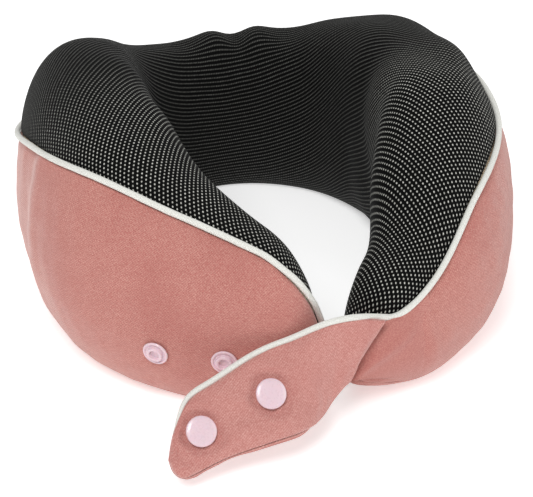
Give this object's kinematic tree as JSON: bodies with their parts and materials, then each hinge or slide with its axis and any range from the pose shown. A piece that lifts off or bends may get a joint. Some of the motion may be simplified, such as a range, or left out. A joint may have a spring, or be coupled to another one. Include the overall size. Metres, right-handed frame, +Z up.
{
  "type": "travel neck pillow",
  "caption": "U-shaped foam neck pillow with a knit and jersey cover, corded seams, a zip and a press-stud chin strap",
  "frame": {"origin": "on the floor, under the middle of the whole object's box", "axes": "+Z up, -Y the open front with the strap, +X the arm that carries the strap"},
  "size_m": [0.2462, 0.2729, 0.1279],
  "materials": {
    "foam": "open-cell memory foam, matt",
    "dotted_knit": "black knit with small off-white dots in rows",
    "pink_jersey": "brushed heather jersey, dusty pink",
    "white_piping": "woven off-white cord piping",
    "snap_plastic": "pale pink moulded plastic",
    "zip_tape": "woven pink tape",
    "zip_coil": "pink nylon coil",
    "zip_metal": "plated zinc"
  },
  "bodies": {
    "pillow": {"foam_core": "foam", "inner_knit_panel": "dotted_knit", "outer_jersey_panel": "pink_jersey", "base_panel": "pink_jersey", "top_piping": "white_piping", "tip_piping_left": "white_piping", "tip_piping_right": "white_piping", "lobe_stud_outer": "snap_plastic", "lobe_stud_inner": "snap_plastic", "stud_backing_outer": "snap_plastic", "stud_backing_inner": "snap_plastic", "zip_tape_upper": "zip_tape", "zip_tape_lower": "zip_tape", "zip_coil": "zip_coil", "zip_stop_start": "zip_metal", "zip_stop_end": "zip_metal"},
    "strap": {"strap_front_panel": "pink_jersey", "strap_back_panel": "pink_jersey", "strap_padding": "foam", "strap_piping": "white_piping", "strap_cap_inner": "snap_plastic", "strap_cap_outer": "snap_plastic", "strap_socket_inner": "snap_plastic", "strap_socket_outer": "snap_plastic"},
    "zip_slider": {"zip_slider": "zip_metal"},
    "zip_pull": {"zip_pull": "zip_metal"}
  },
  "joints": [
    {"name": "strap_swing", "type": "hinge", "parent": "pillow", "child": "strap", "pos_m": [0.0055, -0.1096, 0.0385], "axis": [0.5219, 0.06, 0.8509], "range_deg": [0, 100]},
    {"name": "zip_slider_travel", "type": "hinge", "parent": "pillow", "child": "zip_slider", "pos_m": [0, 0.0032, 0.011], "axis": [0, 0, 1], "range_deg": [0, 68.6]},
    {"name": "zip_pull_flip", "type": "hinge", "parent": "zip_slider", "child": "zip_pull", "pos_m": [0.07568, 0.11415, 0.011], "axis": [0, 0, 1], "range_deg": [0, 150]}
  ]
}
